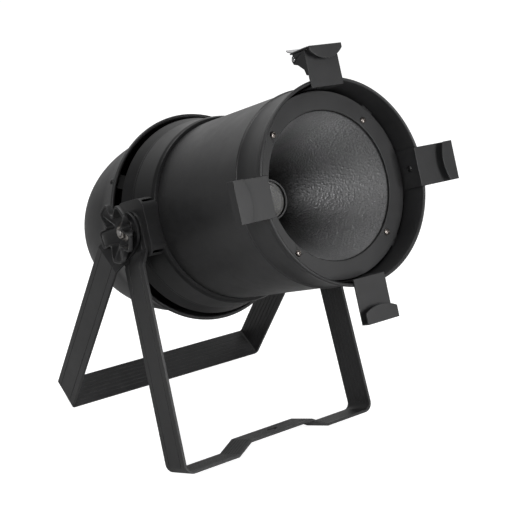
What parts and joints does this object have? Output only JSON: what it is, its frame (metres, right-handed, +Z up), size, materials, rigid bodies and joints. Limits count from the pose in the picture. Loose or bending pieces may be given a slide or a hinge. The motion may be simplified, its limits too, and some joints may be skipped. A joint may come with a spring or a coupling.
{
  "type": "stage spotlight on a floor bracket",
  "caption": "Black stage spotlight: a long cylindrical can with a deep reflector, frame clips round its mouth and a domed rear bowl, held between folding U-shaped floor brackets by star knobs.",
  "frame": {"origin": "the middle of the footprint on the floor", "axes": "+Z up, the light leaves towards -Y and 22 degrees upward, the tilt axis lies along X, +X to the right seen from behind the lantern"},
  "size_m": [0.282, 0.505, 0.4597],
  "materials": {
    "black_coat": "satin black powder coat with a fine grain",
    "black_screw": "blackened steel",
    "zinc": "bright zinc plate",
    "bright_screw": "bright plated, cross recessed",
    "reflector_metal": "hammered, darkened aluminium",
    "cast_metal": "plain extruded aluminium",
    "case_metal": "plain folded case, filled with electronics",
    "black_plastic": "moulded, slightly rough",
    "grip_fibre": "dull friction disc",
    "light_source": "dark board with an unlit lens",
    "spring_wire": "spring steel wire"
  },
  "bodies": {
    "front_stand": {"front_bracket": "black_coat"},
    "rear_stand": {"rear_bracket": "black_coat"},
    "can": {"can_tube": "black_coat", "rear_collar": "black_coat", "rear_bowl": "black_coat", "front_ring_plate": "black_coat", "ring_tabs": "black_coat", "ring_screws": "bright_screw", "reflector": "reflector_metal", "led_holder": "black_plastic", "led_module": "light_source", "heat_sink": "cast_metal", "chassis_plate": "cast_metal", "driver_box": "case_metal", "bowl_straps": "black_coat", "bowl_screws": "black_screw", "cable_gland": "black_plastic", "gland_nut": "black_plastic", "pivot_plates": "black_coat", "pivot_studs": "zinc", "friction_washers": "grip_fibre", "clip_left": "black_coat", "clip_right": "black_coat", "clip_bottom": "black_coat", "clip_top": "black_coat", "clip_rivets": "black_screw", "latch_pin": "bright_screw"},
    "latch": {"latch_hook": "black_coat", "latch_tab": "zinc", "latch_spring": "spring_wire"},
    "washer_left": {"knob_washer_left": "zinc"},
    "washer_right": {"knob_washer_right": "zinc"},
    "knob_left": {"knob_left": "black_plastic", "knob_nut_left": "zinc"},
    "knob_right": {"knob_right": "black_plastic", "knob_nut_right": "zinc"}
  },
  "joints": [
    {"name": "can_tilt", "type": "hinge", "parent": "front_stand", "child": "can", "pos_m": [0, 0.01346, 0.25094], "axis": [1, 0, 0], "range_deg": [-50, 45]},
    {"name": "rear_fold", "type": "hinge", "parent": "front_stand", "child": "rear_stand", "pos_m": [0, 0.01346, 0.25094], "axis": [1, 0, 0], "range_deg": [-51, 150]},
    {"name": "latch_hinge", "type": "hinge", "parent": "can", "child": "latch", "pos_m": [0, -0.12997, 0.44317], "axis": [1, 0, 0], "range_deg": [-75, 0], "stiffness_Nm_per_rad": 0.05, "springref_deg": 20.05},
    {"name": "knob_feed_left", "type": "slide", "parent": "can", "child": "washer_left", "axis": [-1, 0, 0], "range_m": [0, 0.0026]},
    {"name": "knob_turn_left", "type": "hinge", "parent": "washer_left", "child": "knob_left", "pos_m": [-0.1256, 0.01346, 0.25094], "axis": [-1, 0, 0], "range_deg": [0, 720]},
    {"name": "knob_feed_right", "type": "slide", "parent": "can", "child": "washer_right", "axis": [1, 0, 0], "range_m": [0, 0.0026]},
    {"name": "knob_turn_right", "type": "hinge", "parent": "washer_right", "child": "knob_right", "pos_m": [0.1256, 0.01346, 0.25094], "axis": [1, 0, 0], "range_deg": [0, 720]}
  ],
  "couplings": [
    {"joint": "knob_feed_left", "follows": "knob_turn_left", "m_per_rad": 0.0001989},
    {"joint": "knob_feed_right", "follows": "knob_turn_right", "m_per_rad": 0.0001989}
  ]
}
